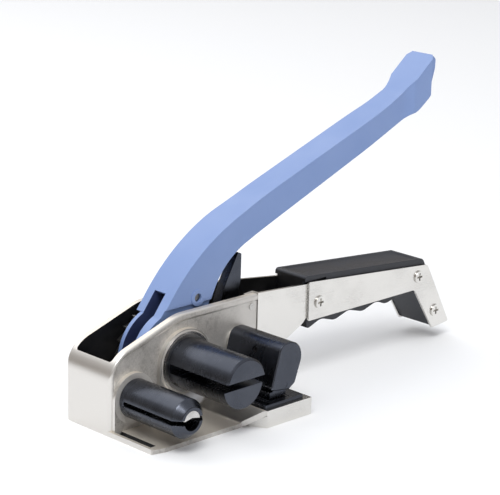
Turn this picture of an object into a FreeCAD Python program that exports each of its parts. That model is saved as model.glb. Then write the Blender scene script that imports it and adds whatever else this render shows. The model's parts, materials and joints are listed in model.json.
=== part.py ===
import FreeCAD, Part
import math
import os

# Hand strapping tensioner with a windlass, a pull lever, a front pin and a cam gripper.
# Frame: X runs from the nose to the grip, Z is up, Y = 0 is the strap-side wall face and
# the strap side is -Y. The origin is on the underside, straight below the windlass axis.
# All sizes are millimetres.

# driving dimensions
HOUSING_WIDTH = 36.5
WALL = 4.0
RECESS = 0.8
BOSS = 1.8
NOSE_X = -51.7
HOUSING_REAR_X = 54.5
HOUSING_TOP_Z = 57.0
NOSE_TOP_Z = 41.0
NOSE_R = 18.0
RIM = 2.8
RIM_ROUND = 1.4
BASE_T = 2.4
BASE_EDGE_Y = -34.5
FOOT_EDGE_Y = -44.6
FOOT_X = 19.4
FOOT_REAR_X = 53.3
FOOT_Z = 9.7
WINDLASS_Z = 30.4
WINDLASS_R = 14.0
WINDLASS_END_Y = -46.0
STRAP_SLOT = 5.0
HUB_R = 12.0
TAIL_R = 9.0
RATCHET_R = 23.6
RATCHET_ROOT_R = 20.4
RATCHET_TEETH = 18
RATCHET_Y = (25.0, 30.0)
PIN_X = -36.3
PIN_Z = 18.8
PIN_R = 10.75
PIN_SEAT_R = 13.7
GRIPPER_X = 39.7
GRIPPER_Z = 33.3
GRIPPER_SHAFT_R = 5.75
DRIVE_PAWL_X = 15.8
DRIVE_PAWL_Z = 61.1
HOLDING_PAWL_X = -27.7
HOLDING_PAWL_Z = 8.2
LEVER_NEAR_Y = 7.0
LEVER_FAR_Y = 27.5
LEVER_WALL = 3.0
NECK_NEAR_Y = 9.8
NECK_FAR_Y = 24.7
CHEEK_R = 26.2
RIB_Y = (21.9, 24.4)
GRIP_NEAR_Y = -3.6
GRIP_FAR_Y = 23.4
GRIP_SKIN = 1.4
FIT = 0.05

INNER_FAR_Y = HOUSING_WIDTH - WALL
GRIP_SCREWS = [(100.0, 43.9), (184.6, 42.2), (200.7, 18.2)]
CHANNEL_RIVETS = [(50.6, 50.4), (51.2, 21.5)]
FOOT_SCREWS = [(27.0, 8.5), (27.0, 28.0), (47.0, 8.5), (47.0, 28.0)]
PLATE_SCREWS = [(26.0, -12.0), (44.0, -34.0)]

os.makedirs("parts", exist_ok=True)
vector = FreeCAD.Vector
ALONG_Y = vector(0, 1, 0)


def write(name, shape):
    if not shape.isValid():
        print("invalid shape:", name)
    print(name, len(shape.Solids), round(shape.Volume))
    shape.exportStep("parts/" + name + ".step")


# outlines and basic solids

def corner(before, here, after, radius):
    """Tangent points and middle point of an arc that rounds one corner."""
    to_before = math.atan2(before[1] - here[1], before[0] - here[0])
    to_after = math.atan2(after[1] - here[1], after[0] - here[0])
    opening = abs((to_after - to_before + math.pi) % (2 * math.pi) - math.pi)
    reach = radius / math.tan(opening / 2)
    start = (here[0] + reach * math.cos(to_before), here[1] + reach * math.sin(to_before))
    end = (here[0] + reach * math.cos(to_after), here[1] + reach * math.sin(to_after))
    bisector = math.atan2(start[1] + end[1] - 2 * here[1], start[0] + end[0] - 2 * here[0])
    depth = radius / math.sin(opening / 2) - radius
    middle = (here[0] + depth * math.cos(bisector), here[1] + depth * math.sin(bisector))
    return start, middle, end


def outline(points, place):
    """Closed wire through (u, v) or (u, v, radius) corners, placed by a function."""
    count = len(points)
    spans = []
    for index, point in enumerate(points):
        if len(point) > 2 and point[2] > 0:
            before = points[index - 1]
            after = points[(index + 1) % count]
            spans.append(corner(before, point, after, point[2]))
        else:
            spans.append((point, None, point))
    edges = []
    for index, (start, middle, end) in enumerate(spans):
        if middle:
            edges.append(Part.Arc(place(start), place(middle), place(end)).toShape())
        following = spans[(index + 1) % count][0]
        if math.dist(end[:2], following[:2]) > 1e-6:
            edges.append(Part.LineSegment(place(end), place(following)).toShape())
    return Part.Wire(edges)


def side_plate(points, near_y, far_y):
    """Solid with an outline in the XZ plane, between two Y planes."""
    wire = outline(points, lambda p: vector(p[0], near_y, p[1]))
    return Part.Face(wire).extrude(vector(0, far_y - near_y, 0))


def floor_plate(points, low_z, high_z):
    """Solid with an outline in the XY plane, between two Z planes."""
    wire = outline(points, lambda p: vector(p[0], p[1], low_z))
    return Part.Face(wire).extrude(vector(0, 0, high_z - low_z))


def rod(x, z, radius, near_y, far_y):
    return Part.makeCylinder(radius, far_y - near_y, vector(x, near_y, z), ALONG_Y)


def cone(x, z, near_radius, far_radius, near_y, far_y):
    return Part.makeCone(near_radius, far_radius, far_y - near_y, vector(x, near_y, z), ALONG_Y)


def ring(x, z, outer, inner, near_y, far_y):
    return rod(x, z, outer, near_y, far_y).cut(rod(x, z, inner, near_y - 1, far_y + 1))


def block(x0, x1, y0, y1, z0, z1):
    return Part.makeBox(x1 - x0, y1 - y0, z1 - z0, vector(x0, y0, z0))


def hexagon(x, z, across_flats, near_y, far_y):
    radius = across_flats / math.sqrt(3)
    corners = []
    for step in range(6):
        angle = math.radians(60 * step)
        corners.append((x + radius * math.cos(angle), z + radius * math.sin(angle)))
    return side_plate(corners, near_y, far_y)


def upright(x, y, radius, low_z, high_z):
    return Part.makeCylinder(radius, high_z - low_z, vector(x, y, low_z))


def joined(shapes):
    first = shapes[0].multiFuse(shapes[1:])
    return first.removeSplitter()


def strip_spring(x, z, inner_r, gauge, turns, near_y, far_y):
    """Torsion spring rolled from flat strip: a spiral outline pulled along Y."""
    steps_per_turn = 24
    pitch = 1.8 * gauge
    inner = []
    outer = []
    for step in range(int(steps_per_turn * turns) + 1):
        share = step / steps_per_turn
        angle = 2 * math.pi * share
        radius = inner_r + pitch * share
        inner.append((x + radius * math.cos(angle), z + radius * math.sin(angle)))
        outer.append((x + (radius + gauge) * math.cos(angle), z + (radius + gauge) * math.sin(angle)))
    return side_plate(inner + outer[::-1], near_y, far_y)


def offset_path(points, distance):
    """Open path of (x, z, radius) corners moved to its right-hand side."""
    moved = []
    for index, point in enumerate(points):
        before = points[max(index - 1, 0)]
        after = points[min(index + 1, len(points) - 1)]
        angle_in = math.atan2(point[1] - before[1], point[0] - before[0])
        angle_out = math.atan2(after[1] - point[1], after[0] - point[0])
        if index == 0:
            angle_in = angle_out
        if index == len(points) - 1:
            angle_out = angle_in
        turn = angle_out - angle_in
        normal = (angle_in + angle_out) / 2 - math.pi / 2
        reach = distance / math.cos(turn / 2)
        radius = point[2] - distance if turn < 0 else point[2] + distance
        if point[2] == 0:
            radius = 0
        moved.append((point[0] + reach * math.cos(normal), point[1] + reach * math.sin(normal), radius))
    return moved


# housing, foot and front pin

def wall_profile():
    """Side outline of the housing with its big round nose."""
    return [
        (NOSE_X, 0),
        (NOSE_X, NOSE_TOP_Z, NOSE_R),
        (-3.5, HOUSING_TOP_Z, 28),
        (HOUSING_REAR_X, HOUSING_TOP_Z),
        (HOUSING_REAR_X, FOOT_Z + FIT),
        (FOOT_X, FOOT_Z + FIT),
        (10.4, 0),
    ]


def recess_profile():
    """Shallow sunk panel of the near wall, inside a rim along the nose and the top."""
    back = HOUSING_REAR_X + 4
    return [
        (NOSE_X + RIM, -5),
        (NOSE_X + RIM, NOSE_TOP_Z - 0.3, 12),
        (-3.0, HOUSING_TOP_Z - RIM, 28),
        (back, HOUSING_TOP_Z - RIM),
        (back, -5),
    ]


def recess_tool():
    """The recess as a solid whose inner end is rounded, which leaves a soft inside corner."""
    tool = side_plate(recess_profile(), -3, RECESS)
    floor_edges = []
    for edge in tool.Edges:
        if edge.BoundBox.YMin > RECESS - 0.01:
            floor_edges.append(edge)
    return tool.makeFillet(1.6, floor_edges)


def housing_walls():
    far = HOUSING_WIDTH
    back = HOUSING_REAR_X + 5
    plan = [
        (NOSE_X, 0, 3),
        (back, 0),
        (back, WALL),
        (NOSE_X + WALL, WALL, 1.5),
        (NOSE_X + WALL, far - WALL, 1.5),
        (back, far - WALL),
        (back, far),
        (NOSE_X, far, 3),
    ]
    shell = floor_plate(plan, 0, HOUSING_TOP_Z + 3)
    shell = shell.common(side_plate(wall_profile(), -1, far + 1))
    return soften_rim(shell).cut(recess_tool())


def soften_rim(shell):
    """Round the outer top edge of both walls."""
    rim = []
    for edge in shell.Edges:
        box = edge.BoundBox
        outside = box.YMax < 0.01 or box.YMin > HOUSING_WIDTH - 0.01
        if outside and box.ZMin > NOSE_TOP_Z and box.XMax > box.XMin + 0.5:
            rim.append(edge)
    return shell.makeFillet(RIM_ROUND, rim)


def base_plate():
    """Flat base, its ramp up to the foot and the thin lip at the nose."""
    rise = FOOT_Z - BASE_T
    profile = [
        (NOSE_X, 0),
        (NOSE_X, BASE_T),
        (9.3, BASE_T, 3),
        (9.3 + rise * 1.22, FOOT_Z),
        (FOOT_X, FOOT_Z),
        (FOOT_X, FOOT_Z - BASE_T),
        (10.4, 0, 3),
    ]
    plan = [
        (NOSE_X, -32.4),
        (-43.7, BASE_EDGE_Y, 2),
        (10.3, BASE_EDGE_Y),
        (FOOT_X, FOOT_EDGE_Y),
        (FOOT_X + 1, HOUSING_WIDTH),
        (NOSE_X, HOUSING_WIDTH, 3),
    ]
    plate = side_plate(profile, FOOT_EDGE_Y, HOUSING_WIDTH)
    plate = plate.common(floor_plate(plan, -1, FOOT_Z + 1))
    lip_x = NOSE_X + 1.8
    lip = block(NOSE_X, lip_x, -32.4, 1.0, 0, BASE_T + 0.5)
    slot = block(lip_x, lip_x + 4.4, -29.0, -1.0, -1, BASE_T + 1)
    return plate.fuse(lip).cut(slot)


def bosses():
    """Round seats of the windlass and the front pin, with their skirts down to the base."""
    root_y = RECESS + 0.5
    windlass = rod(0, WINDLASS_Z, 18.5, -BOSS, root_y)
    skirt_points = [(-18.5, 1.4), (9.0, 1.4), (18.5, 9.2), (18.5, WINDLASS_Z), (-18.5, WINDLASS_Z)]
    skirt = side_plate(skirt_points, -BOSS, root_y)
    pin = rod(PIN_X, PIN_Z, PIN_SEAT_R, -BOSS, root_y)
    pin_skirt = block(PIN_X - PIN_SEAT_R, PIN_X + PIN_SEAT_R, -BOSS, root_y, BASE_T - 1, PIN_Z)
    return [windlass, skirt, pin, pin_skirt]


def frame_housing():
    floor_points = [
        (FOOT_X - 0.9, FOOT_Z - 0.4),
        (FOOT_X + 1.2, 12.0),
        (HOUSING_REAR_X, 12.0),
        (HOUSING_REAR_X, FOOT_Z + FIT),
        (FOOT_X, FOOT_Z + FIT),
    ]
    floor = side_plate(floor_points, WALL - 1, INNER_FAR_Y + 1)
    body = joined([housing_walls(), base_plate(), floor] + bosses())
    holes = [
        rod(0, WINDLASS_Z, 17.02, -5, 6),
        rod(0, WINDLASS_Z, 15.02, 30, 40),
        rod(PIN_X, PIN_Z, 6.05, -5, 6),
        rod(GRIPPER_X, GRIPPER_Z, 8.02, -5, 40),
        rod(HOLDING_PAWL_X, HOLDING_PAWL_Z, 2.52, 30, 40),
    ]
    for x, z in CHANNEL_RIVETS:
        holes.append(rod(x, z, 2.02, -5, 40))
    for x, y in FOOT_SCREWS:
        holes.append(upright(x, y, 2.05, 5, 14))
        holes.append(Part.makeCone(2.05, 4.1, 2.05, vector(x, y, 10.0)))
    return body.cut(joined(holes))


def foot_block():
    profile = [
        (11.4, 0),
        (FOOT_X + FIT, FOOT_Z - BASE_T - 0.4),
        (FOOT_X + FIT, FOOT_Z),
        (FOOT_REAR_X, FOOT_Z, 0.6),
        (FOOT_REAR_X, 0, 0.6),
    ]
    plan = [
        (FOOT_X, FOOT_EDGE_Y, 0.8),
        (FOOT_REAR_X, FOOT_EDGE_Y, 0.8),
        (FOOT_REAR_X, HOUSING_WIDTH, 2),
        (11.0, HOUSING_WIDTH),
        (11.0, -30.2),
    ]
    foot = side_plate(profile, FOOT_EDGE_Y, HOUSING_WIDTH)
    foot = foot.common(floor_plate(plan, -1, FOOT_Z + 1))
    for x, y in FOOT_SCREWS:
        foot = foot.cut(upright(x, y, 2.0, 2.0, 12))
    for x, y in PLATE_SCREWS:
        foot = foot.cut(upright(x, y, 1.8, -1, 12))
        foot = foot.cut(upright(x, y, 3.4, -1, 3.5))
    return foot


def foot_screws():
    screws = []
    for x, y in FOOT_SCREWS:
        head = Part.makeCone(2.0, 4.0, 2.0, vector(x, y, 10.0))
        screw = head.fuse(upright(x, y, 1.98, 2.2, 10.2))
        screws.append(screw.cut(upright(x, y, 1.3, 10.9, 13)))
    return Part.makeCompound(screws)


def grip_plate():
    """Grooved hard plate under the gripper, set back from the foot's front edge."""
    plan = [(20.4, -2.2), (20.4, -42.5, 0.8), (49.4, -42.5, 2), (49.4, -2.2)]
    plate = floor_plate(plan, FOOT_Z + FIT, FOOT_Z + 2.0)
    top_edges = []
    for edge in plate.Edges:
        if edge.BoundBox.ZMin > FOOT_Z + 1.9:
            top_edges.append(edge)
    plate = plate.makeChamfer(0.5, top_edges)
    for step in range(9):
        x = 25.0 + 2.0 * step
        groove_points = [(x, FOOT_Z + 1.5), (x + 0.6, FOOT_Z + 2.5), (x - 0.6, FOOT_Z + 2.5)]
        plate = plate.cut(side_plate(groove_points, -39, -5))
    for x, y in PLATE_SCREWS:
        plate = plate.cut(upright(x, y, 1.6, 0, 10.9))
    return plate


def grip_plate_screws():
    screws = []
    for x, y in PLATE_SCREWS:
        screw = upright(x, y, 3.1, 0.6, 3.4).fuse(upright(x, y, 1.58, 3.0, 10.8))
        screws.append(screw.cut(upright(x, y, 1.4, 0, 2.2)))
    return Part.makeCompound(screws)


def front_pin():
    """Fixed slotted pin with a tapered end, screwed through the near wall."""
    body = joined([
        rod(PIN_X, PIN_Z, PIN_R, -42.3, -BOSS),
        cone(PIN_X, PIN_Z, 7.2, PIN_R, -46.6, -42.3),
        rod(PIN_X, PIN_Z, 6.0, -BOSS - 1, 14.0),
    ])
    slot = block(PIN_X - 12, PIN_X + 12, -50, -5, PIN_Z - 1.2, PIN_Z + 1.2)
    bore = rod(PIN_X, PIN_Z, 5.3, -50, -14)
    return body.cut(slot).cut(bore)


def cutter_insert():
    """Half-round hardened blade seated in the upper half of the pin's bore."""
    half = rod(PIN_X, PIN_Z, 5.25, -46.4, -15)
    half = half.cut(block(PIN_X - 8, PIN_X + 8, -50, 0, PIN_Z - 8, PIN_Z + 0.4))
    edge = side_plate([(PIN_X - 8, PIN_Z), (PIN_X + 8, PIN_Z), (PIN_X, PIN_Z + 1.6, 2)], -50, 0)
    return half.cut(edge)


def front_pin_washer():
    return ring(PIN_X, PIN_Z, 9.2, 6.08, WALL + FIT, 5.6)


def front_pin_nut():
    nut = hexagon(PIN_X, PIN_Z, 16.5, 5.65, 12.6)
    chamfer = cone(PIN_X, PIN_Z, 10.5, 8.4, 11.4, 12.6).fuse(rod(PIN_X, PIN_Z, 10.5, 5.0, 11.4))
    return nut.common(chamfer).cut(rod(PIN_X, PIN_Z, 6.03, 0, 20))


# windlass

def windlass_shaft():
    """Slotted drum, lever journal, ratchet seat and far journal in one turning."""
    upper_end = WINDLASS_END_Y - 2.6
    chamfer = 1.2
    drum = joined([
        rod(0, WINDLASS_Z, WINDLASS_R, upper_end + chamfer, 5.6),
        cone(0, WINDLASS_Z, WINDLASS_R - chamfer, WINDLASS_R, upper_end, upper_end + chamfer),
        rod(0, WINDLASS_Z, HUB_R, 5.0, 31.6),
        rod(0, WINDLASS_Z, TAIL_R, 31.0, 36.5),
    ])
    lower_trim = block(-20, 20, upper_end - 1, WINDLASS_END_Y, 0, WINDLASS_Z)
    slot = block(-20, 20, upper_end - 1, -4.0, WINDLASS_Z - STRAP_SLOT / 2, WINDLASS_Z + STRAP_SLOT / 2)
    groove = ring(0, WINDLASS_Z, 20, 13.2, -2.65, -2.0)
    keyway = block(-2.02, 2.02, RATCHET_Y[0], RATCHET_Y[1], WINDLASS_Z + 10, WINDLASS_Z + 15)
    thread = rod(0, WINDLASS_Z, 3.0, 18, 40)
    return drum.cut(joined([lower_trim, slot])).cut(groove).cut(keyway).cut(thread)


def windlass_key():
    return block(-2, 2, RATCHET_Y[0] + 0.1, RATCHET_Y[1] - 0.1, WINDLASS_Z + 10.02, WINDLASS_Z + 13.9)


def ratchet_wheel():
    """Saw-toothed wheel: steep flanks trail when the drum winds on."""
    pitch = 360.0 / RATCHET_TEETH
    points = []
    for tooth in range(RATCHET_TEETH):
        for share, radius in ((0.0, RATCHET_ROOT_R), (0.84, RATCHET_R), (0.93, RATCHET_R)):
            angle = math.radians(pitch * (tooth + share))
            points.append((radius * math.cos(angle), WINDLASS_Z + radius * math.sin(angle)))
    wheel = side_plate(points, RATCHET_Y[0], RATCHET_Y[1])
    wheel = wheel.cut(rod(0, WINDLASS_Z, HUB_R + 0.02, 20, 35))
    return wheel.cut(block(-2.02, 2.02, 20, 35, WINDLASS_Z + 5, WINDLASS_Z + 13.95))


def near_windlass_bush():
    body = ring(0, WINDLASS_Z, 17.0, WINDLASS_R + FIT, -1.95, 5.4)
    return body.fuse(ring(0, WINDLASS_Z, 17.0, 16.2, -2.3, -1.9)).removeSplitter()


def windlass_retaining_ring():
    clip = ring(0, WINDLASS_Z, 15.6, 13.25, -2.6, -2.05)
    return clip.cut(block(-2, 2, -4, 0, 10, WINDLASS_Z - 5))


def far_bearing(part):
    """Ball bearing of the tail journal: 'outer', 'inner' or 'balls'."""
    middle_y = HOUSING_WIDTH - 2.0
    track_r = 12.0
    ball_r = 1.7
    track = Part.makeTorus(track_r, ball_r + 0.04, vector(0, middle_y, WINDLASS_Z), ALONG_Y)
    if part == "outer":
        return ring(0, WINDLASS_Z, 15.0, 12.9, middle_y - 1.9, middle_y + 1.9).cut(track)
    if part == "inner":
        return ring(0, WINDLASS_Z, 11.1, TAIL_R + 0.02, middle_y - 1.9, middle_y + 1.9).cut(track)
    balls = []
    for step in range(14):
        angle = 2 * math.pi * step / 14
        place = vector(track_r * math.cos(angle), middle_y, WINDLASS_Z + track_r * math.sin(angle))
        balls.append(Part.makeSphere(ball_r, place))
    return Part.makeCompound(balls)


def windlass_end_washer():
    return ring(0, WINDLASS_Z, 11.0, 3.1, HOUSING_WIDTH + 0.05, HOUSING_WIDTH + 1.5)


def windlass_end_screw():
    head = rod(0, WINDLASS_Z, 5.4, HOUSING_WIDTH + 1.55, HOUSING_WIDTH + 4.4)
    socket = hexagon(0, WINDLASS_Z, 5.0, HOUSING_WIDTH + 2.2, HOUSING_WIDTH + 6)
    shank = rod(0, WINDLASS_Z, 2.98, 20, HOUSING_WIDTH + 2)
    return head.fuse(shank).removeSplitter().cut(socket)


# lever and pawls

WRAP_START = math.radians(112)
WRAP_END = math.radians(168)


def wrap_point(angle, radius):
    return (radius * math.cos(angle), WINDLASS_Z + radius * math.sin(angle))


def lever_top_path():
    start = wrap_point(WRAP_START, CHEEK_R)
    return [
        (start[0], start[1], 0),
        (16.8, 89.3, 118),
        (70.0, 110.8, 250),
        (165.0, 145.5, 90),
        (179.0, 152.0, 16),
        (203.4, 171.6, 0),
    ]


def lever_rear_path():
    return [
        (206.8, 168.6, 2.0),
        (206.6, 163.2, 6),
        (202.0, 148.6, 14),
        (191.0, 140.6, 20),
        (35.8, 78.8, 43),
        (22.0, 50.5, 4),
    ]


def lever_side(near_y, far_y):
    """Full-depth side outline of the lever above the round cheeks."""
    points = lever_top_path() + lever_rear_path() + [(0, WINDLASS_Z)]
    return side_plate(points, near_y, far_y)


def lever_web():
    """Curved strip along the top, plus the part that wraps round the hub."""
    outer = lever_top_path()
    inner = offset_path(outer, LEVER_WALL)
    strip = side_plate(outer + inner[::-1], LEVER_NEAR_Y, LEVER_FAR_Y)
    middle = (WRAP_START + WRAP_END) / 2
    arcs = []
    for radius in (CHEEK_R, CHEEK_R - 2.3):
        ends = [wrap_point(angle, radius) for angle in (WRAP_START - 0.1, middle, WRAP_END)]
        arcs.append([vector(x, LEVER_NEAR_Y, z) for x, z in ends])
    wire = Part.Wire([
        Part.Arc(*arcs[0]).toShape(),
        Part.LineSegment(arcs[0][2], arcs[1][2]).toShape(),
        Part.Arc(*arcs[1][::-1]).toShape(),
        Part.LineSegment(arcs[1][0], arcs[0][0]).toShape(),
    ])
    wrap = Part.Face(wire).extrude(vector(0, 13.5 - LEVER_NEAR_Y, 0))
    slot = block(-40, 40, 13.5, RIB_Y[0], 40, 90)
    window = side_plate([(-40, 30), (-1.0, 30), (2.5, 62.3), (-1.8, 65.6), (-40, 95)], 13.5, RIB_Y[0])
    return strip.cut(slot.common(window)).fuse(wrap)


def lever_plan():
    """Width of the lever as seen from above."""
    near = [(-40, LEVER_NEAR_Y), (42, LEVER_NEAR_Y, 250), (62, 8.0, 250), (150, 8.1, 300), (182, 9.8, 16)]
    flare = [(193, 4.6, 4), (198.2, 4.6, 3), (204.2, 10.2), (208, 10.2)]
    middle = (LEVER_NEAR_Y + LEVER_FAR_Y) / 2
    points = near + flare
    for point in (near + flare)[::-1]:
        points.append((point[0], 2 * middle - point[1]) + tuple(point[2:]))
    return floor_plate(points, 0, 200)


def lever_tip():
    """Flared thumb end of the web, wider than the side flanges."""
    outer = lever_top_path()[3:]
    inner = offset_path(outer, 3.2)
    strip = side_plate(outer + inner[::-1], 0, 40)
    return strip.common(block(176, 220, 0, 40, 100, 200))


def lever_flanges(near_y, thickness, low_x, high_x):
    """Both side flanges between two X limits, the far one mirrored from the near one."""
    far_y = LEVER_NEAR_Y + LEVER_FAR_Y - near_y
    span = block(low_x, high_x, 0, 40, 0, 200)
    pair = lever_side(near_y, near_y + thickness).fuse(lever_side(far_y - thickness, far_y))
    return pair.common(span)


def fork_sides():
    """Near flange with its cheek, the rib beside the ratchet, and the start of the far flange."""
    near = lever_side(LEVER_NEAR_Y, LEVER_NEAR_Y + LEVER_WALL)
    near_cheek = rod(0, WINDLASS_Z, CHEEK_R, LEVER_NEAR_Y, LEVER_NEAR_Y + LEVER_WALL)
    rib = lever_side(*RIB_Y).common(block(-40, 60, 0, 40, 0, 120))
    rib_cheek = rod(0, WINDLASS_Z, CHEEK_R - 0.4, *RIB_Y)
    far = lever_side(LEVER_FAR_Y - LEVER_WALL, LEVER_FAR_Y)
    far_limit = side_plate([(31, 40), (31, 75), (24, 90), (24, 130), (230, 200), (230, 40)], 20, 40)
    return joined([near, near_cheek, rib, rib_cheek, far.common(far_limit)])


def lever_handle():
    """Channel-shaped pull lever, open at the rear, with its fork round the windlass."""
    plan = lever_plan()
    widest = plan.fuse(block(176, 230, NECK_NEAR_Y, NECK_FAR_Y, 100, 200))
    straight = lever_flanges(8.0, LEVER_WALL, 60, 184).common(plan)
    head = lever_flanges(NECK_NEAR_Y, 2.8, 150, 230)
    parts = [fork_sides().common(widest), lever_web().common(plan), straight, head, lever_tip().common(plan)]
    body = joined(parts)
    body = body.cut(block(-40, 40, 0, LEVER_NEAR_Y + 0.8, 0, 58.2))
    body = body.fuse(rod(DRIVE_PAWL_X, DRIVE_PAWL_Z, 4.7, LEVER_NEAR_Y - 0.5, LEVER_NEAR_Y + 1))
    body = body.cut(rod(0, WINDLASS_Z, 14.0, 0, 40))
    return body.cut(rod(DRIVE_PAWL_X, DRIVE_PAWL_Z, 2.42, 0, 40)).removeSplitter()


def lever_bushes():
    near = ring(0, WINDLASS_Z, 13.98, HUB_R + FIT, LEVER_NEAR_Y + 0.8, LEVER_NEAR_Y + LEVER_WALL + 0.3)
    far = ring(0, WINDLASS_Z, 13.98, HUB_R + FIT, RIB_Y[0] - 0.3, RIB_Y[1] + 0.3)
    return Part.makeCompound([near, far])


def drive_pawl():
    near_y = RATCHET_Y[0] + 0.1
    far_y = RATCHET_Y[1] - 0.2
    hub = rod(DRIVE_PAWL_X, DRIVE_PAWL_Z, 5.5, near_y, far_y)
    arm_points = [(10.4, 60.2), (14.8, 50.2, 4), (19.0, 45.8), (22.4, 47.6, 1), (21.2, 60.2)]
    arm = side_plate(arm_points, near_y, far_y)
    return hub.fuse(arm).removeSplitter().cut(rod(DRIVE_PAWL_X, DRIVE_PAWL_Z, 2.45, 20, 40))


def drive_pawl_pin():
    shank = rod(DRIVE_PAWL_X, DRIVE_PAWL_Z, 2.38, LEVER_NEAR_Y + 0.9, RATCHET_Y[1] + 1.2)
    return shank.cut(ring(DRIVE_PAWL_X, DRIVE_PAWL_Z, 4, 1.9, RATCHET_Y[1] + 0.15, RATCHET_Y[1] + 0.75))


def drive_pawl_clip():
    clip = ring(DRIVE_PAWL_X, DRIVE_PAWL_Z, 4.2, 1.95, RATCHET_Y[1] + 0.2, RATCHET_Y[1] + 0.7)
    return clip.cut(block(DRIVE_PAWL_X - 1.2, DRIVE_PAWL_X + 1.2, 25, 35, DRIVE_PAWL_Z + 1, DRIVE_PAWL_Z + 6))


def drive_pawl_spring():
    return strip_spring(DRIVE_PAWL_X, DRIVE_PAWL_Z, 2.9, 0.35, 1.25, 15.0, 21.4)


def holding_pawl():
    near_y = RATCHET_Y[0] + 0.1
    far_y = RATCHET_Y[1] - 0.2
    hub = rod(HOLDING_PAWL_X, HOLDING_PAWL_Z, 4.6, near_y, far_y)
    outline_points = [(-32.2, 9.0), (-27.2, 22.8, 1), (-23.4, 22.0), (-21.4, 17.4), (-23.2, 8.6)]
    arm = side_plate(outline_points, near_y, far_y)
    return hub.fuse(arm).removeSplitter().cut(rod(HOLDING_PAWL_X, HOLDING_PAWL_Z, 2.55, 20, 40))


def holding_pawl_pin():
    shank = rod(HOLDING_PAWL_X, HOLDING_PAWL_Z, 2.5, 17.0, HOUSING_WIDTH + 1)
    head = cone(HOLDING_PAWL_X, HOLDING_PAWL_Z, 4.6, 3.8, HOUSING_WIDTH + FIT, HOUSING_WIDTH + 1.8)
    return shank.fuse(head).removeSplitter()


def holding_pawl_spring():
    return strip_spring(HOLDING_PAWL_X, HOLDING_PAWL_Z, 2.95, 0.35, 1.25, 18.0, 24.6)


# gripper

def gripper_outline():
    return [
        (26.6, 17.6, 2),
        (33.6, 42.4, 5.5),
        (49.2, 42.4, 9),
        (49.2, 31.5, 6),
        (44.6, 18.6, 3),
        (40.5, 15.9, 1.5),
    ]


def gripper_cam():
    body = side_plate(gripper_outline(), -40.0, -1.0)
    rear_edges = []
    for edge in body.Edges:
        if edge.BoundBox.YMax < -39.9:
            rear_edges.append(edge)
    body = body.makeChamfer(0.6, rear_edges)
    body = body.cut(rod(GRIPPER_X, GRIPPER_Z, GRIPPER_SHAFT_R + 0.02, -50, 10))
    body = body.cut(block(30.5, 37.5, -37.5, 0, 10, 22.0))
    body = body.cut(set_screw_rod(2.0, -4.0, 5.0))
    return body.cut(rod(37.0, 19.2, 1.52, -50, 0))


def set_screw_rod(radius, near_depth, far_depth):
    """Round bar along the set screw's axis, between two depths below the leaning face."""
    mouth = vector(31.7, -21.5, 35.6)
    inward = vector(GRIPPER_X - mouth.x, 0, GRIPPER_Z - mouth.z).normalize()
    return Part.makeCylinder(radius, far_depth - near_depth, mouth + inward * near_depth, inward)


def gripper_set_screw():
    return set_screw_rod(1.97, 0.8, 2.5).cut(set_screw_rod(1.0, 0.7, 1.8))


def gripper_jaw():
    """Serrated shoe that presses the strap on the grip plate."""
    shoe_top = 15.6
    shoe_low = FOOT_Z + 2.3
    shoe = block(28.4, 40.4, -37.0, -3.0, shoe_low, shoe_top)
    tongue = block(30.6, 37.4, -37.0, -3.0, shoe_top - 1, 21.6)
    body = shoe.fuse(tongue).removeSplitter()
    for step in range(6):
        x = 29.4 + 2.0 * step
        notch_points = [(x - 0.8, shoe_low - 0.1), (x + 0.8, shoe_low - 0.1), (x, shoe_low + 0.9)]
        body = body.cut(side_plate(notch_points, -40, 0))
    return body.cut(rod(37.0, 19.2, 1.52, -50, 0))


def gripper_jaw_pin():
    return rod(37.0, 19.2, 1.5, -39.9, -2.0)


def gripper_shaft():
    shaft = rod(GRIPPER_X, GRIPPER_Z, GRIPPER_SHAFT_R, -40.0, HOUSING_WIDTH + 2.4)
    groove = ring(GRIPPER_X, GRIPPER_Z, 8, 4.9, HOUSING_WIDTH + 0.8, HOUSING_WIDTH + 1.5)
    cross = upright(GRIPPER_X, 14.5, 1.5, GRIPPER_Z - 10, GRIPPER_Z + 10)
    return shaft.cut(groove).cut(cross)


def gripper_shaft_clip():
    clip = ring(GRIPPER_X, GRIPPER_Z, 8.4, 4.95, HOUSING_WIDTH + 0.85, HOUSING_WIDTH + 1.45)
    gap = block(GRIPPER_X - 2, GRIPPER_X + 2, 30, 45, GRIPPER_Z - 12, GRIPPER_Z - 3)
    return clip.cut(gap)


def gripper_bushes():
    bushes = []
    for low_y, high_y in ((-0.6, 4.6), (INNER_FAR_Y - 0.6, HOUSING_WIDTH + 0.4)):
        bushes.append(ring(GRIPPER_X, GRIPPER_Z, 8.0, GRIPPER_SHAFT_R + FIT, low_y, high_y))
    return Part.makeCompound(bushes)


def gripper_thumb_lever():
    arm_points = [
        (32.0, 38.5),
        (40.5, 62.0, 30),
        (50.0, 79.2, 1.2),
        (52.4, 78.0, 0.8),
        (52.2, 63.0, 8),
        (48.6, 50.0, 20),
        (48.0, 36.0),
    ]
    arm = side_plate(arm_points, 11.5, 17.5)
    body = arm.fuse(rod(GRIPPER_X, GRIPPER_Z, 9.0, 11.5, 17.5)).removeSplitter()
    body = body.cut(rod(GRIPPER_X, GRIPPER_Z, GRIPPER_SHAFT_R + 0.02, 5, 25))
    return body.cut(upright(GRIPPER_X, 14.5, 1.5, GRIPPER_Z - 10, GRIPPER_Z + 7.1))


def thumb_lever_pin():
    return upright(GRIPPER_X, 14.5, 1.47, GRIPPER_Z - 8.6, GRIPPER_Z + 7)


def gripper_spring():
    return strip_spring(GRIPPER_X, GRIPPER_Z, 6.4, 0.5, 1.25, 20.0, 30.0)


# rear channel and grip

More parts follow.
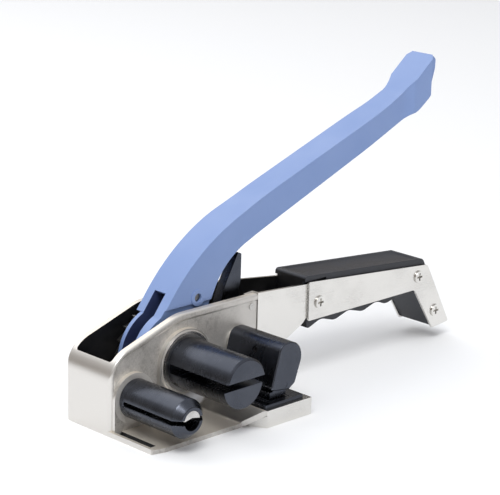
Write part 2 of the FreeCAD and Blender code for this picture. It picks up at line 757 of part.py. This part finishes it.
def rear_channel():
    """Bent-up channel between the housing and the grip."""
    near = [(48.9, 4.2), (54.7, 4.2), (54.8, 0.2), (91, -2.1), (106, -2.1),
            (106, -0.5), (91.2, -0.5), (56.4, 1.8), (55.9, 5.8), (48.9, 5.8)]
    far = [(48.9, 32.3), (54.8, 32.3), (91, 21.9), (106, 21.9),
           (106, 20.3), (90.6, 20.3), (54.4, 30.7), (48.9, 30.7)]
    inside = [(54.6, 1.6), (91, -0.6), (91, 20.6), (54.6, 31.2)]
    profile = [
        (46, 14.5), (55.2, 14.5), (88.0, 33.0, 6), (91.0, 36.2), (108, 36.2),
        (108, 55.0), (91.0, 55.8), (55.2, 57.3), (46, 56.6),
    ]
    strip = [(55.2, 14.5), (88.0, 33.0, 6), (90.9, 36.2), (89.7, 37.4), (87.1, 34.6, 4.4), (55.2, 16.4)]
    walls = floor_plate(near, 10, 60).fuse(floor_plate(far, 10, 60))
    walls = walls.common(side_plate(profile, -10, 40))
    sole = side_plate(strip, -5, 40).common(floor_plate(inside, 0, 60))
    body = walls.fuse(sole).removeSplitter()
    for x, z in CHANNEL_RIVETS:
        body = body.cut(rod(x, z, 2.02, -5, 40))
    return body.cut(rod(GRIP_SCREWS[0][0], GRIP_SCREWS[0][1], 2.1, -5, 40))


def channel_rivets():
    rivets = []
    for x, z in CHANNEL_RIVETS:
        for near_y, far_y, head_y in ((RECESS - 0.4, 6.6, 5.85), (29.9, HOUSING_WIDTH + 0.5, 29.9)):
            shank = rod(x, z, 2.0, near_y, far_y)
            head = rod(x, z, 3.0, head_y, head_y + 0.75)
            rivets.append(shank.fuse(head).removeSplitter())
    return Part.makeCompound(rivets)


def plate_outline():
    return [
        (91.3, 57.2, 0.8),
        (192.3, 48.4, 4),
        (213.8, 8.8, 1),
        (198.9, 7.4, 1),
        (181.5, 34.6, 4),
        (91.3, 34.3, 0.8),
    ]


def grip_side_plate(near_y, far_y):
    plate = side_plate(plate_outline(), near_y, far_y)
    for x, z in GRIP_SCREWS:
        plate = plate.cut(rod(x, z, 2.1, near_y - 1, far_y + 1))
    return plate


def grip_core():
    """Moulded hand grip with finger waves, thicker than the side plates at top and bottom."""
    points = [
        (89.4, 60.6, 2),
        (189.5, 52.4, 4),
        (212.4, 9.6, 1),
        (199.6, 8.2, 1),
        (182.4, 33.2, 5),
        (168.0, 33.6, 8),
        (157.9, 30.4, 9),
        (149.6, 33.8, 9),
        (137.8, 30.1, 9),
        (126.0, 33.5, 9),
        (114.3, 29.8, 9),
        (103.0, 33.2, 9),
        (93.0, 29.4, 3),
        (89.4, 31.0, 1),
    ]
    core = side_plate(points, GRIP_NEAR_Y + GRIP_SKIN + 0.1, GRIP_FAR_Y - GRIP_SKIN - 0.1)
    core = core.cut(block(80, 106.5, -5, -0.3, 36.0, 57.2))
    core = core.cut(block(80, 106.5, 20.1, 30, 36.0, 57.2))
    core = core.cut(block(80, 91.2, -5, 30, 20, 38.0))
    for x, z in GRIP_SCREWS:
        core = core.cut(rod(x, z, 2.1, -10, 30))
    return core


def cross_recess(x, z, near_y, far_y):
    """Cross-shaped driver recess of a screw head."""
    half_long = 2.3
    half_wide = 0.55
    bars = []
    for half_x, half_z in ((half_long, half_wide), (half_wide, half_long)):
        bars.append(block(x - half_x, x + half_x, near_y, far_y, z - half_z, z + half_z))
    return joined(bars)


def grip_screws():
    screws = []
    for x, z in GRIP_SCREWS:
        head_y = GRIP_NEAR_Y - 1.0
        head = rod(x, z, 3.7, head_y, GRIP_NEAR_Y - FIT)
        screw = head.fuse(rod(x, z, 2.0, GRIP_NEAR_Y - 0.5, GRIP_FAR_Y + 1.5)).removeSplitter()
        screws.append(screw.cut(cross_recess(x, z, head_y - 1, GRIP_NEAR_Y + 0.6)))
    return Part.makeCompound(screws)


def grip_nuts():
    nuts = []
    for x, z in GRIP_SCREWS:
        nut = hexagon(x, z, 7.0, GRIP_FAR_Y + FIT, GRIP_FAR_Y + 2.4)
        nuts.append(nut.cut(rod(x, z, 2.02, 0, 40)))
    return Part.makeCompound(nuts)


write("frame_housing", frame_housing())
write("foot_block", foot_block())
write("foot_screws", foot_screws())
write("grip_plate", grip_plate())
write("grip_plate_screws", grip_plate_screws())
write("front_pin", front_pin())
write("cutter_insert", cutter_insert())
write("front_pin_washer", front_pin_washer())
write("front_pin_nut", front_pin_nut())
write("windlass_shaft", windlass_shaft())
write("windlass_key", windlass_key())
write("ratchet_wheel", ratchet_wheel())
write("near_windlass_bush", near_windlass_bush())
write("windlass_retaining_ring", windlass_retaining_ring())
write("far_bearing_outer_ring", far_bearing("outer"))
write("far_bearing_inner_ring", far_bearing("inner"))
write("far_bearing_balls", far_bearing("balls"))
write("windlass_end_washer", windlass_end_washer())
write("windlass_end_screw", windlass_end_screw())
write("lever_handle", lever_handle())
write("lever_bushes", lever_bushes())
write("drive_pawl", drive_pawl())
write("drive_pawl_pin", drive_pawl_pin())
write("drive_pawl_clip", drive_pawl_clip())
write("drive_pawl_spring", drive_pawl_spring())
write("holding_pawl", holding_pawl())
write("holding_pawl_pin", holding_pawl_pin())
write("holding_pawl_spring", holding_pawl_spring())
write("gripper_cam", gripper_cam())
write("gripper_set_screw", gripper_set_screw())
write("gripper_jaw", gripper_jaw())
write("gripper_jaw_pin", gripper_jaw_pin())
write("gripper_shaft", gripper_shaft())
write("gripper_shaft_clip", gripper_shaft_clip())
write("gripper_bushes", gripper_bushes())
write("gripper_thumb_lever", gripper_thumb_lever())
write("thumb_lever_pin", thumb_lever_pin())
write("gripper_spring", gripper_spring())
write("rear_channel", rear_channel())
write("channel_rivets", channel_rivets())
write("grip_core", grip_core())
write("near_grip_plate", grip_side_plate(GRIP_NEAR_Y, GRIP_NEAR_Y + GRIP_SKIN))
write("far_grip_plate", grip_side_plate(GRIP_FAR_Y - GRIP_SKIN, GRIP_FAR_Y))
write("grip_screws", grip_screws())
write("grip_nuts", grip_nuts())
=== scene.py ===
import bpy
import bmesh
import json
import math
from mathutils import Matrix, Vector


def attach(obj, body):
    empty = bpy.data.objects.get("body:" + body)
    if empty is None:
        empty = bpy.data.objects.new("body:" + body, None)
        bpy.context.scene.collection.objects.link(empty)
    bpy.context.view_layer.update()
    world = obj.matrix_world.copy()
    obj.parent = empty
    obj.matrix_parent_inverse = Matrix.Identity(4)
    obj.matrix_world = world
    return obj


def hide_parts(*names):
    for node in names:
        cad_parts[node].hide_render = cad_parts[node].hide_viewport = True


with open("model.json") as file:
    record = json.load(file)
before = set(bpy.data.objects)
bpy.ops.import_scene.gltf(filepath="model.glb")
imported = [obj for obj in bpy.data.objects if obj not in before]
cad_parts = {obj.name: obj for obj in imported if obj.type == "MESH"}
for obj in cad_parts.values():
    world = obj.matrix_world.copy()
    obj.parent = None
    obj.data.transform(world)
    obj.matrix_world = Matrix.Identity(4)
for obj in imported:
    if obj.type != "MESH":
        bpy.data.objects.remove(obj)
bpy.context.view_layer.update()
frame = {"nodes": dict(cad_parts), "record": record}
nodes = frame["nodes"]
print("frame loaded:", len(nodes), "nodes")


camera = {
    "place": (-0.6902, -0.7534, 0.3872),
    "azimuth": -44.4,     # degrees, 0 looks along +Y
    "elevation": 16.0,
    "roll": 1.2,
    "lens": 145.4,        # mm
    "sensor": 36,         # mm
    "farthest": 50,       # metres
}


def cameraMatrix(setup):
    azimuth = math.radians(setup["azimuth"])
    elevation = math.radians(setup["elevation"])
    right = Vector((math.cos(azimuth), math.sin(azimuth), 0))
    rise = math.sin(elevation)
    up = Vector((-math.sin(azimuth) * rise, math.cos(azimuth) * rise, math.cos(elevation)))
    back = right.cross(up)
    turned = Matrix((right, up, back)).transposed().to_4x4()
    turned = turned @ Matrix.Rotation(math.radians(setup["roll"]), 4, "Z")
    turned.translation = Vector(setup["place"])
    return turned


def addCamera():
    data = bpy.data.cameras.new("photoCamera")
    data.lens = camera["lens"]
    data.sensor_width = camera["sensor"]
    data.clip_end = camera["farthest"]
    view = bpy.data.objects.new("photoCamera", data)
    bpy.context.scene.collection.objects.link(view)
    view.matrix_world = cameraMatrix(camera)
    bpy.context.scene.camera = view


studio = {
    "keyPlace": (-0.66, -0.56, 1.45), "keySize": 0.8, "keyPower": 12.5,
    "backPlace": (0.0, 1.2, 1.2), "backSize": 1.9, "backPower": 9,
    "skyTop": (1.0, 1.01, 1.04),        # overhead
    "skyLow": (0.34, 0.30, 0.26),       # warm grey room near the horizon
    "skyPower": 0.81,
    "skyLowAt": 0.12,                   # heights where the two tones are reached
    "skyTopAt": 0.75,
    "aim": (0.05, 0.0, 0.06),           # what both lights face
    "floorTone": (0.95, 0.96, 0.97),
    "floorSize": 12,
    "floorRoughness": 0.9,
}


def addAreaLight(name, place, size, power):
    light = bpy.data.lights.new(name, "AREA")
    light.shape = "DISK"
    light.size = size
    light.energy = power
    lamp = bpy.data.objects.new(name, light)
    bpy.context.scene.collection.objects.link(lamp)
    aim = Vector(studio["aim"]) - Vector(place)
    lamp.matrix_world = Matrix.Translation(place) @ aim.to_track_quat("-Z", "Y").to_matrix().to_4x4()


def addSky():
    world = bpy.data.worlds.new("softRoom")
    world.use_nodes = True
    tree = world.node_tree
    direction = tree.nodes.new("ShaderNodeTexCoord").outputs["Generated"]
    split = tree.nodes.new("ShaderNodeSeparateXYZ")
    tree.links.new(direction, split.inputs["Vector"])
    ramp = tree.nodes.new("ShaderNodeValToRGB")
    tree.links.new(split.outputs["Z"], ramp.inputs["Fac"])
    low, top = ramp.color_ramp.elements
    low.position = studio["skyLowAt"]
    low.color = (*studio["skyLow"], 1)
    top.position = studio["skyTopAt"]
    top.color = (*studio["skyTop"], 1)
    sky = tree.nodes["Background"]
    tree.links.new(ramp.outputs["Color"], sky.inputs["Color"])
    sky.inputs["Strength"].default_value = studio["skyPower"]
    bpy.context.scene.world = world


def addFloor():
    bpy.ops.object.select_all(action="DESELECT")
    bpy.ops.mesh.primitive_plane_add(size=studio["floorSize"], location=(0, 0, 0))
    floor = bpy.context.object
    floor.name = "studioFloor"
    finish = bpy.data.materials.new("paleFloor")
    finish.use_nodes = True
    paint = finish.node_tree.nodes["Principled BSDF"]
    paint.inputs["Base Color"].default_value = (*studio["floorTone"], 1)
    paint.inputs["Roughness"].default_value = studio["floorRoughness"]
    floor.data.materials.append(finish)


addCamera()
addAreaLight("keyLight", studio["keyPlace"], studio["keySize"], studio["keyPower"])
addAreaLight("backLight", studio["backPlace"], studio["backSize"], studio["backPower"])
addSky()
addFloor()
bpy.context.scene.view_settings.view_transform = "Standard"
print("camera and studio ready")


class Finish:   # a node material that reads Object coordinates

    def __init__(self, name, colour, metallic, roughness):
        self.material = bpy.data.materials.new(name)
        self.material.use_nodes = True
        self.tree = self.material.node_tree
        self.surface = self.tree.nodes["Principled BSDF"]
        self.surface.inputs["Base Color"].default_value = (*colour, 1)
        self.surface.inputs["Metallic"].default_value = metallic
        self.surface.inputs["Roughness"].default_value = roughness
        self.place = self.tree.nodes.new("ShaderNodeTexCoord").outputs["Object"]

    def node(self, kind, **inputs):
        made = self.tree.nodes.new(kind)
        for key, value in inputs.items():
            socket = made.inputs[key.replace("_", " ")]
            if isinstance(value, bpy.types.NodeSocket):
                self.tree.links.new(value, socket)
            else:
                socket.default_value = value
        return made

    def stretched(self, scale):
        made = self.node("ShaderNodeMapping", Vector=self.place)
        made.inputs["Scale"].default_value = scale
        return made.outputs["Vector"]

    def noise(self, scale, detail=3.0, rough=0.55, vector=None):
        place = vector or self.place
        made = self.node("ShaderNodeTexNoise", Vector=place, Scale=scale, Detail=detail, Roughness=rough)
        return made.outputs["Fac"]

    def spread(self, value, low, high, toLow=0.0, toHigh=1.0):
        made = self.node("ShaderNodeMapRange", Value=value)
        for key, number in (("From Min", low), ("From Max", high), ("To Min", toLow), ("To Max", toHigh)):
            made.inputs[key].default_value = number
        return made.outputs["Result"]

    def maths(self, operation, first, second=0.0):
        made = self.tree.nodes.new("ShaderNodeMath")
        made.operation = operation
        made.use_clamp = operation in ("MULTIPLY", "ADD")
        for index, value in enumerate((first, second)):
            if isinstance(value, bpy.types.NodeSocket):
                self.tree.links.new(value, made.inputs[index])
            else:
                made.inputs[index].default_value = value
        return made.outputs[0]

    def blend(self, factor, first, second):
        made = self.tree.nodes.new("ShaderNodeMix")
        made.data_type = "RGBA"
        self.tree.links.new(factor, made.inputs["Factor"])
        for name, value in (("A", first), ("B", second)):
            socket = [s for s in made.inputs if s.name == name and s.type == "RGBA"][0]
            if isinstance(value, bpy.types.NodeSocket):
                self.tree.links.new(value, socket)
            else:
                socket.default_value = (*value, 1)
        return [s for s in made.outputs if s.type == "RGBA"][0]

    def bump(self, height, strength, distance):
        made = self.node("ShaderNodeBump", Height=height, Strength=strength, Distance=distance)
        return made.outputs["Normal"]

    def edges(self, radius, low=0.02, high=0.25):   # 1 along sharp edges, 0 on flat ground
        bevel = self.tree.nodes.new("ShaderNodeBevel")
        bevel.samples = 4
        bevel.inputs["Radius"].default_value = radius
        geometry = self.tree.nodes.new("ShaderNodeNewGeometry")
        dot = self.tree.nodes.new("ShaderNodeVectorMath")
        dot.operation = "DOT_PRODUCT"
        self.tree.links.new(bevel.outputs["Normal"], dot.inputs[0])
        self.tree.links.new(geometry.outputs["Normal"], dot.inputs[1])
        lean = self.maths("SUBTRACT", 1.0, dot.outputs["Value"])
        return self.spread(lean, low, high)

    def machinedSeat(self, x, z, radius):   # 0.3 on a turned seat, 1 outside it
        reach = self.tree.nodes.new("ShaderNodeVectorMath")
        reach.operation = "DISTANCE"
        self.tree.links.new(self.stretched((1, 0, 1)), reach.inputs[0])
        reach.inputs[1].default_value = (x, 0, z)
        return self.spread(reach.outputs["Value"], radius, radius + 0.0002, 0.3, 1.0)

    def use(self, **sockets):
        for name, value in sockets.items():
            socket = self.surface.inputs[name.replace("_", " ")]
            if isinstance(value, bpy.types.NodeSocket):
                self.tree.links.new(value, socket)
            else:
                socket.default_value = value
        return self.material


turnedSeats = {
    # x, z and radius of the machined rings, metres
    "windlass": (0, 0.0304, 0.0186),
    "frontPin": (-0.0363, 0.0188, 0.0138),
}


def nickelCasting():
    f = Finish("nickelCasting", (0.72, 0.70, 0.67), 0.9, 0.3)
    facing = f.node("ShaderNodeSeparateXYZ", Vector=f.tree.nodes.new("ShaderNodeTexCoord").outputs["Normal"])
    sideways = f.spread(f.maths("ABSOLUTE", facing.outputs["Y"]), 0.8, 0.99)
    upward = f.spread(facing.outputs["Z"], 0.7, 0.95)
    clouds = f.spread(f.noise(55, 5, 0.62), 0.36, 0.64)
    grain = f.spread(f.noise(1100, 3, 0.6), 0.3, 0.7)
    specks = f.maths("MULTIPLY", clouds, f.spread(f.noise(420, 4, 0.7), 0.46, 0.6))
    mottle = f.maths("ADD", f.maths("MULTIPLY", clouds, 0.45), f.maths("MULTIPLY", grain, 0.35))
    mottle = f.maths("ADD", mottle, f.maths("MULTIPLY", specks, 0.45))
    along = f.node("ShaderNodeSeparateXYZ", Vector=f.place)
    dullnessLeft = f.spread(along.outputs["X"], 0.012, 0.045, 1.0, 0.1)   # brighter and less mottled toward the rear
    seats = f.maths("MULTIPLY", *(f.machinedSeat(*seat) for seat in turnedSeats.values()))
    dullnessLeft = f.maths("MULTIPLY", dullnessLeft, seats)
    blastAndPaintedReflection = f.maths("MULTIPLY", f.maths("MULTIPLY", sideways, mottle), dullnessLeft)
    colour = f.blend(blastAndPaintedReflection, (0.71, 0.69, 0.66), (0.36, 0.345, 0.325))   # bright face; the sideways faces are darker, partly blasted finish and partly painted reflection of the dark parts beside them
    colour = f.blend(upward, colour, (0.82, 0.76, 0.67))   # painted reflection: warm brown where it lies flat
    rough = f.maths("ADD", f.spread(sideways, 0, 1, 0.3, 0.52), f.maths("MULTIPLY", upward, 0.12))
    metal = f.spread(f.maths("ADD", sideways, upward), 0, 1, 0.95, 0.62)
    relief = f.bump(f.noise(1400, 3), 0.25, 0.00008)
    return f.use(Base_Color=colour, Metallic=metal, Roughness=rough, Normal=relief)


def paintedShadeFinish():
    f = Finish("paintedShadeFinish", (0.012, 0.012, 0.013), 0.0, 0.45)   # painted shade: near-black inner walls where the hollows lie in shade
    patchiness = f.spread(f.noise(70, 4, 0.6), 0.35, 0.7)
    colour = f.blend(patchiness, (0.008, 0.008, 0.009), (0.022, 0.021, 0.021))
    return f.use(
        Base_Color=colour,
        Roughness=f.spread(patchiness, 0, 1, 0.35, 0.6),
        Specular_IOR_Level=0.2,
        Normal=f.bump(f.noise(700, 3), 0.2, 0.0001),
    )


def brightNickel(name, tint=(0.74, 0.725, 0.695), rough=0.2):
    f = Finish(name, tint, 1.0, rough)
    lines = f.noise(60, 3, 0.6, f.stretched((0.5, 30, 30)))
    marks = f.spread(f.noise(35, 4, 0.6), 0.45, 0.7)
    brushed = f.spread(lines, 0.3, 0.7, rough * 0.7, rough * 1.3)
    roughness = f.maths("ADD", brushed, f.maths("MULTIPLY", marks, 0.1))
    colour = f.blend(marks, tint, tuple(0.9 * c for c in tint))
    return f.use(Base_Color=colour, Roughness=roughness, Normal=f.bump(lines, 0.06, 0.00005))


def turnedSteel(name="turnedSteel", tone=1.0):
    f = Finish(name, (0.62, 0.61, 0.60), 1.0, 0.28)
    lines = f.noise(90, 2, 0.5, f.stretched((6, 40, 6)))
    stain = f.spread(f.noise(120, 3), 0.4, 0.7)
    colour = f.blend(stain, (0.62 * tone, 0.61 * tone, 0.60 * tone), (0.42 * tone, 0.41 * tone, 0.39 * tone))
    rough = f.spread(lines, 0.3, 0.7, 0.2, 0.38)
    return f.use(Base_Color=colour, Roughness=rough, Normal=f.bump(lines, 0.15, 0.00006))


def blackOxide():
    f = Finish("blackOxide", (0.07, 0.08, 0.09), 1.0, 0.3)   # oiled black on turned steel
    turning = f.noise(45, 2, 0.5, f.stretched((0.25, 10, 0.25)))
    oil = f.spread(f.noise(55, 4, 0.6), 0.35, 0.7)
    colour = f.blend(oil, (0.062, 0.068, 0.084), (0.084, 0.091, 0.110))
    rough = f.maths("ADD", f.spread(turning, 0.3, 0.7, 0.23, 0.27), f.maths("MULTIPLY", oil, 0.05))
    return f.use(Base_Color=colour, Roughness=rough, Normal=f.bump(f.noise(1200, 2), 0.02, 0.00005))


def bluePaint():
    f = Finish("bluePaint", (0.25, 0.34, 0.66), 0.0, 0.42)   # powder coat
    peel = f.noise(650, 2, 0.5)
    tone = f.spread(f.noise(18, 3), 0.35, 0.65)
    # lighter blue along the edges: partly paint rubbed thin, partly painted edge highlight
    wornAndHighlit = f.maths("MULTIPLY", f.edges(0.0007), f.spread(f.noise(140, 3), 0.45, 0.7, 0.0, 0.6))
    base = f.blend(tone, (0.20, 0.300, 0.575), (0.225, 0.325, 0.60))
    colour = f.blend(wornAndHighlit, base, (0.36, 0.45, 0.66))
    rough = f.spread(f.noise(90, 3), 0.3, 0.7, 0.36, 0.48)
    return f.use(Base_Color=colour, Roughness=rough, Normal=f.bump(peel, 0.12, 0.0001))


def shadedBlue():
    f = Finish("shadedBlue", (0.03, 0.045, 0.13), 0.0, 0.55)   # painted shade: dark navy for the faces inside the lever's channel
    patch = f.spread(f.noise(80, 3), 0.35, 0.65)
    colour = f.blend(patch, (0.022, 0.034, 0.105), (0.04, 0.06, 0.16))
    return f.use(Base_Color=colour, Normal=f.bump(f.noise(500, 2), 0.15, 0.0001))


def gripRubber():
    f = Finish("gripRubber", (0.017, 0.019, 0.026), 0.0, 0.5)   # moulded, spark-eroded grain
    spark = f.noise(1500, 3, 0.6)
    dust = f.spread(f.noise(60, 4, 0.6), 0.45, 0.75)
    colour = f.blend(dust, (0.012, 0.014, 0.021), (0.022, 0.025, 0.034))
    rough = f.maths("ADD", f.spread(spark, 0.3, 0.7, 0.34, 0.46), f.maths("MULTIPLY", dust, 0.1))
    return f.use(Base_Color=colour, Roughness=rough, Normal=f.bump(spark, 0.3, 0.0001))


def springWire():
    f = Finish("springWire", (0.36, 0.36, 0.37), 1.0, 0.32)
    streak = f.noise(400, 3)
    colour = f.blend(f.spread(streak, 0.35, 0.65), (0.40, 0.40, 0.41), (0.27, 0.26, 0.25))
    return f.use(Base_Color=colour, Roughness=f.spread(streak, 0.3, 0.7, 0.25, 0.42))


def oiledBronze():
    f = Finish("oiledBronze", (0.55, 0.38, 0.20), 1.0, 0.4)
    pores = f.noise(1600, 3, 0.6)
    colour = f.blend(f.spread(pores, 0.4, 0.65), (0.60, 0.43, 0.24), (0.36, 0.24, 0.12))
    rough = f.spread(pores, 0.3, 0.7, 0.3, 0.5)
    return f.use(Base_Color=colour, Roughness=rough, Normal=f.bump(pores, 0.2, 0.0001))


slotFinish = {
    "nickel_casting": nickelCasting(),
    "nickel_plate": brightNickel("brightNickel"),
    "bare_steel": turnedSteel(),
    "black_oxide": blackOxide(),
    "blue_paint": bluePaint(),
    "grip_rubber": gripRubber(),
    "bearing_bronze": oiledBronze(),
    "spring_steel": springWire(),
}
slotOfNode = {entry["node"]: entry["material_slot"] for entry in frame["record"]["subparts"]}
bodyOfNode = {n: body for body, members in frame["record"]["behaviour"]["bodies"].items() for n in members}


def dress(piece, finish):
    piece.data.materials.clear()
    piece.data.materials.append(finish)


paintedShadeWalls = paintedShadeFinish()
ownFinish = {
    # node: a finish of its own, other than its slot's
    "drive_pawl_pin": turnedSteel("darkSteel", 0.3),
    # ratchet wheel: turned steel darkened to 0.45 of its tone
    "ratchet_wheel": turnedSteel("darkenedRatchet", 0.45),
    # painted shade: the set screw in its recess gets the near-black shade finish
    "gripper_set_screw": paintedShadeWalls,
    "channel_rivets": brightNickel("rivetNickel", (0.52, 0.51, 0.49), 0.3),
}


def finishOf(name):
    return ownFinish.get(name, slotFinish[slotOfNode[name]])


for name, node in nodes.items():
    dress(node, finishOf(name))
print("finishes ready")


roundedParts = {
    # node: edge radius in metres
    "foot_block": 0.0005,
    "windlass_shaft": 0.0005,
    "front_pin": 0.0005,
    "gripper_cam": 0.0007,
    "gripper_thumb_lever": 0.0005,
    "near_grip_plate": 0.0003,
    "far_grip_plate": 0.0003,
    "rear_channel": 0.0003,
    "grip_plate": 0.0003,
    "ratchet_wheel": 0.0003,
    "frame_housing": 0.0004,
    "grip_core": 0.0008,
    "lever_handle": 0.0010,
    "grip_screws": 0.0003,
}


edgeWork = {
    "weld": 0.000002,      # metres, joins the loose triangles
    "flatWithin": 0.4,     # degrees, triangles that make one flat face
    "roundAbove": 28,      # degrees, sharper edges are rounded
    "smoothBelow": 32,     # degrees
    "segments": 2,
}


def makeActive(piece):
    bpy.ops.object.select_all(action="DESELECT")
    piece.select_set(True)
    bpy.context.view_layer.objects.active = piece


hollows = {
    # node: finish, lowest and highest corner of each space painted as shade, in metres
    "frame_housing": [
        (paintedShadeWalls, (-0.0482, 0.0030, 0.0020), (0.0560, 0.0335, 0.0560)),
        (paintedShadeWalls, (-0.0502, -0.0295, -0.0002), (-0.0450, -0.0005, 0.0026)),
    ],
    "rear_channel": [(paintedShadeWalls, (0.0480, -0.0008, 0.0160), (0.1040, 0.0312, 0.0572))],
    "lever_handle": [(shadedBlue(), (-0.0300, 0.0095, 0.0200), (0.0450, 0.0252, 0.1000))],
}


def isInside(face, low, high):
    centre = face.center
    within = all(low[i] <= centre[i] <= high[i] for i in range(3))
    middle = [(low[i] + high[i]) / 2 for i in range(3)]
    toMiddle = Vector(middle) - centre
    return within and face.normal.z < 0.9 and face.normal.dot(toMiddle) > 0


def shadeHollow(piece, finish, low, high):
    piece.data.materials.append(finish)
    for face in piece.data.polygons:
        if isInside(face, low, high):
            face.material_index = len(piece.data.materials) - 1


def roundedCopy(name, radius):
    source = nodes[name]
    piece = bpy.data.objects.new(name + "_rounded", source.data.copy())
    bpy.context.scene.collection.objects.link(piece)
    makeActive(piece)
    bpy.ops.object.mode_set(mode="EDIT")
    bpy.ops.mesh.select_all(action="SELECT")
    bpy.ops.mesh.remove_doubles(threshold=edgeWork["weld"])
    bpy.ops.mesh.dissolve_limited(angle_limit=math.radians(edgeWork["flatWithin"]))
    bpy.ops.object.mode_set(mode="OBJECT")
    bevel = piece.modifiers.new("edges", "BEVEL")
    bevel.width = radius
    bevel.segments = edgeWork["segments"]
    bevel.limit_method = "ANGLE"
    bevel.angle_limit = math.radians(edgeWork["roundAbove"])
    bevel.use_clamp_overlap = True
    bpy.ops.object.modifier_apply(modifier="edges")
    bpy.ops.object.shade_smooth_by_angle(angle=math.radians(edgeWork["smoothBelow"]))
    weigh = piece.modifiers.new("flatFaces", "WEIGHTED_NORMAL")
    weigh.keep_sharp = True
    bpy.ops.object.modifier_apply(modifier="flatFaces")
    dress(piece, finishOf(name))
    for hollow in hollows.get(name, []):
        shadeHollow(piece, *hollow)
    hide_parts(name)
    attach(piece, bodyOfNode[name])
    return piece


seatRings = {
    "axisHeight": 0.0304,   # the windlass axis, metres
    "reach": 0.019,         # the seat's faces lie this near the axis
    "level": -0.0018,       # where the seat lies along Y
    "tolerance": 0.00005,
    "rim": 0.0007,
    "slope": 0.0003,
    "depth": 0.0005,
}


def grooveSeat(housing):
    makeActive(housing)
    bpy.ops.object.mode_set(mode="EDIT")
    mesh = bmesh.from_edit_mesh(housing.data)
    axis = Vector((0, seatRings["level"], seatRings["axisHeight"]))
    for face in mesh.faces:
        centre = face.calc_center_median()
        level = abs(centre.y - axis.y) < seatRings["tolerance"]
        near = (centre - axis).length < seatRings["reach"]
        face.select_set(level and near and face.normal.y < -0.99)
    bmesh.update_edit_mesh(housing.data)
    bpy.ops.mesh.inset(thickness=seatRings["rim"])
    bpy.ops.mesh.inset(thickness=seatRings["slope"], depth=-seatRings["depth"])
    bpy.ops.object.mode_set(mode="OBJECT")


gripFront = {
    "facing": -0.95,   # its normal points forward along -X
    "before": 0.1,     # metres along X
}


def shadeGripFront(grip):
    # painted shade: the grip's front face under its top lip is near-black
    grip.data.materials.append(paintedShadeWalls)
    for face in grip.data.polygons:
        if face.normal.x < gripFront["facing"] and face.center.x < gripFront["before"]:
            face.material_index = 1


gripPanel = {
    "margin": 0.0022,   # rim left round the sunk panel, metres
    "groove": 0.0007,   # width of its sloped edge
    "depth": 0.0006,
}


def sinkTopPanel(grip):
    makeActive(grip)
    bpy.ops.object.mode_set(mode="EDIT")
    mesh = bmesh.from_edit_mesh(grip.data)
    for face in mesh.faces:
        face.select_set(False)
    top = max((face for face in mesh.faces if face.normal.z > 0.9), key=lambda face: face.calc_area())
    top.select_set(True)
    bmesh.update_edit_mesh(grip.data)
    bpy.ops.mesh.inset(thickness=gripPanel["margin"])
    bpy.ops.mesh.inset(thickness=gripPanel["groove"], depth=-gripPanel["depth"])
    bpy.ops.object.mode_set(mode="OBJECT")


rounded = {name: roundedCopy(name, radius) for name, radius in roundedParts.items()}
grooveSeat(rounded["frame_housing"])
shadeGripFront(rounded["grip_core"])
sinkTopPanel(rounded["grip_core"])
print("rounded parts ready")
